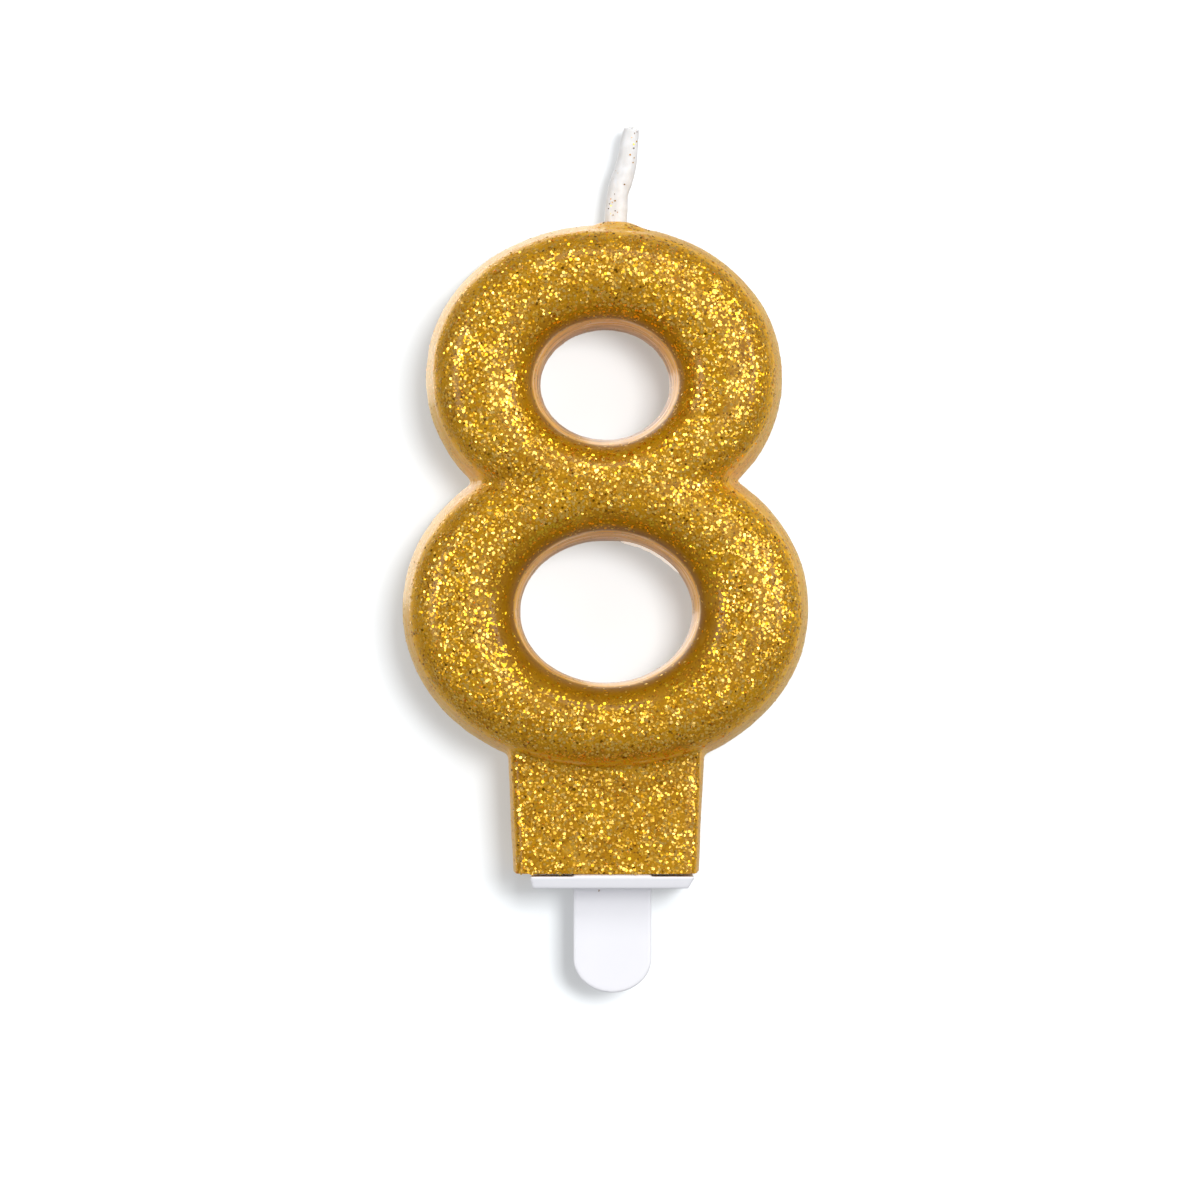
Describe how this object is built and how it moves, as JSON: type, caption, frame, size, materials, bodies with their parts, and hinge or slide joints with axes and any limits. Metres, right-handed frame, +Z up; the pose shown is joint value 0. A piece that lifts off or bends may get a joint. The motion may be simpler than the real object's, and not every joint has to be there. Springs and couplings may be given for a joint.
{
  "type": "number birthday candle",
  "caption": "Figure-eight birthday candle with a glitter coat, a short waxed wick and a flat pick that stands it upright in a cake.",
  "frame": {"origin": "on the middle line of the pick's blade, level with the underside of the plate, where the cake's top surface lies", "axes": "+Z up as the candle stands in a cake, the face of the figure towards -Y, its flat back towards +Y, +X to the right of somebody looking at the face"},
  "size_m": [0.0426, 0.0116, 0.09],
  "materials": {
    "wax": "peach-gold paraffin wax, soft satin, slightly translucent",
    "glitter": "clear lacquer full of fine gold metallic flakes",
    "cotton": "braided undyed cotton",
    "wick_wax": "white wax, smooth, with a few gold specks",
    "pick": "moulded white plastic, soft gloss"
  },
  "bodies": {
    "pick": {"cake_pick": "pick"},
    "candle": {"wax_figure": "wax", "glitter_coat": "glitter", "wick_core": "cotton"},
    "free_wick": {"wick_braid": "cotton", "wick_wax": "wick_wax"}
  },
  "joints": [
    {"name": "pull_off_pick", "type": "slide", "parent": "pick", "child": "candle", "axis": [0, 0, 1], "range_m": [0, 0.0095]},
    {"name": "wick_bend", "type": "hinge", "parent": "candle", "child": "free_wick", "pos_m": [0.00055, 0.0018, 0.0693], "axis": [0, 1, 0], "range_deg": [-30, 30]}
  ]
}
